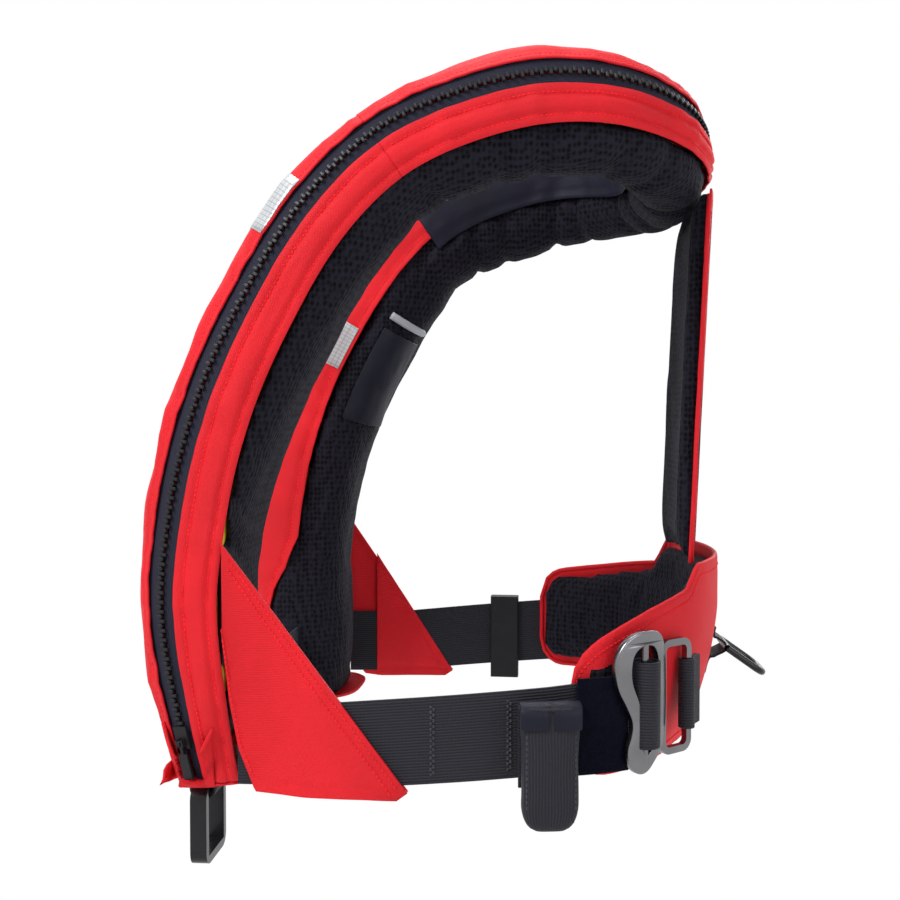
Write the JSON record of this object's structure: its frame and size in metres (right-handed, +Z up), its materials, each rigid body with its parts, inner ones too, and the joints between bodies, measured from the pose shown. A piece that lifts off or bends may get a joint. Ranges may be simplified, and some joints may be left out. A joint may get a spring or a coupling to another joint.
{
  "type": "inflatable life jacket",
  "caption": "Horseshoe inflatable life jacket: zipped cloth cover over a folded bladder, waist belt with hook buckle, back strap, lumbar pad, harness rings.",
  "frame": {"origin": "the wearer's torso axis at the mid height of the waist belt", "axes": "+X to the wearer's left, -Y to the wearer's front, +Z up"},
  "size_m": [0.3319, 0.3828, 0.4816],
  "materials": {
    "red_cloth": "woven nylon, fine diagonal weave",
    "mesh": "coarse spacer mesh",
    "navy_cloth": "smooth woven lining",
    "zip_tape": "woven zip tape",
    "zip_teeth": "moulded teeth",
    "webbing": "ribbed polyester webbing",
    "fleece": "hook and loop pile",
    "reflective": "silver reflective tape",
    "binding": "pale woven binding",
    "buckle_steel": "dark polished steel",
    "ring_metal": "black satin coating",
    "keeper_plastic": "moulded plastic",
    "bladder_film": "coated bladder film",
    "cylinder_steel": "plated steel",
    "inflator_plastic": "moulded plastic",
    "indicator_plastic": "gloss moulded plastic",
    "handle_plastic": "gloss moulded plastic",
    "lanyard_cord": "braided cord",
    "whistle_plastic": "gloss moulded plastic"
  },
  "bodies": {
    "jacket": {"left_lobe_cover": "red_cloth", "right_lobe_cover": "red_cloth", "left_side_strip": "red_cloth", "right_side_strip": "red_cloth", "collar_cover": "red_cloth", "collar_side_strip": "red_cloth", "left_panel_outer": "red_cloth", "right_panel_outer": "red_cloth", "left_panel_inner": "red_cloth", "right_panel_inner": "red_cloth", "left_bottom_panel": "red_cloth", "right_bottom_panel": "red_cloth", "back_pad_cover": "red_cloth", "back_strap_cover": "red_cloth", "zip_pockets": "red_cloth", "left_mesh_pad": "mesh", "right_mesh_pad": "mesh", "collar_mesh_pad": "mesh", "back_pad_mesh": "mesh", "back_strap_mesh": "mesh", "neck_lining": "navy_cloth", "pocket_panel": "navy_cloth", "zip_front_tape": "zip_tape", "zip_rear_tape": "zip_tape", "zip_chain": "zip_teeth", "left_belt": "webbing", "right_belt": "webbing", "front_belt": "webbing", "belt_end_loop": "webbing", "wing_loop": "webbing", "pouch_shell": "webbing", "pouch_keeper": "webbing", "crotch_strap": "webbing", "front_ring_tabs": "webbing", "rear_ring_tab": "webbing", "belt_end_fleece": "fleece", "reflective_tapes": "reflective", "pocket_binding": "binding", "bladder": "bladder_film", "gas_cylinder": "cylinder_steel", "lever_pin": "cylinder_steel", "inflator_head": "inflator_plastic", "oral_tube": "inflator_plastic", "service_indicator": "indicator_plastic", "whistle": "whistle_plastic"},
    "left_ring": {"left_front_ring": "ring_metal"},
    "right_ring": {"right_front_ring": "ring_metal"},
    "back_ring": {"rear_ring": "ring_metal"},
    "hook_plate": {"buckle_hook_plate": "buckle_steel"},
    "bar_frame": {"buckle_frame": "buckle_steel"},
    "flap": {"pouch_flap": "navy_cloth"},
    "keeper": {"right_belt_keeper": "keeper_plastic"},
    "slider": {"zip_slider": "keeper_plastic"},
    "pull": {"zip_pull": "keeper_plastic"},
    "handle": {"firing_handle": "handle_plastic", "firing_lanyard": "lanyard_cord"},
    "lever": {"firing_lever": "inflator_plastic"},
    "cap": {"oral_tube_cap": "inflator_plastic"},
    "poppet": {"oral_valve_poppet": "handle_plastic"}
  },
  "joints": [
    {"name": "left_ring_swing", "type": "hinge", "parent": "jacket", "child": "left_ring", "pos_m": [0.09041, -0.19041, -0.0469], "axis": [1, 0, 0], "range_deg": [-80, 80]},
    {"name": "right_ring_swing", "type": "hinge", "parent": "jacket", "child": "right_ring", "pos_m": [-0.09041, -0.17645, -0.0469], "axis": [1, 0, 0], "range_deg": [-80, 80]},
    {"name": "rear_ring_swing", "type": "hinge", "parent": "jacket", "child": "back_ring", "pos_m": [0, 0.13315, 0.026], "axis": [1, 0, 0], "range_deg": [-45, 100]},
    {"name": "buckle_hook_open", "type": "hinge", "parent": "jacket", "child": "hook_plate", "pos_m": [0.13626, 0.06966, 0.018], "axis": [0, 0, -1], "range_deg": [0, 70]},
    {"name": "buckle_frame_lift", "type": "hinge", "parent": "jacket", "child": "bar_frame", "pos_m": [0.10684, 0.09595, 0.018], "axis": [0, 0, 1], "range_deg": [0, 21]},
    {"name": "pouch_flap_open", "type": "hinge", "parent": "jacket", "child": "flap", "pos_m": [0.15363, 0.01617, 0.0231], "axis": [0.1435, -0.9896, 0], "range_deg": [0, 100]},
    {"name": "belt_keeper_slide", "type": "slide", "parent": "jacket", "child": "keeper", "axis": [0.0323, 0.9995, 0], "range_m": [-0.01, 0.01]},
    {"name": "zip_slider_run", "type": "slide", "parent": "jacket", "child": "slider", "axis": [0.0873, -0.2046, 0.9749], "range_m": [0, 0.016]},
    {"name": "zip_pull_swing", "type": "hinge", "parent": "slider", "child": "pull", "pos_m": [0.14271, -0.19098, -0.00817], "axis": [-0.433, -0.8892, -0.1478], "range_deg": [0, 8]},
    {"name": "firing_handle_pull", "type": "slide", "parent": "jacket", "child": "handle", "axis": [0, 0, -1], "range_m": [0, 0.026]},
    {"name": "firing_lever_turn", "type": "hinge", "parent": "jacket", "child": "lever", "pos_m": [0.11359, -0.1838, 0.03], "axis": [1, 0, 0], "range_deg": [0, 75]},
    {"name": "oral_cap_pull", "type": "slide", "parent": "jacket", "child": "cap", "axis": [0, 0, 1], "range_m": [0, 0.02]},
    {"name": "oral_poppet_press", "type": "slide", "parent": "jacket", "child": "poppet", "axis": [0, 0, -1], "range_m": [0, 0.004], "stiffness_N_per_m": 300}
  ],
  "couplings": [
    {"joint": "buckle_frame_lift", "follows": "buckle_hook_open", "ratio": 0.28},
    {"joint": "firing_lever_turn", "follows": "firing_handle_pull", "rad_per_m": 50}
  ]
}
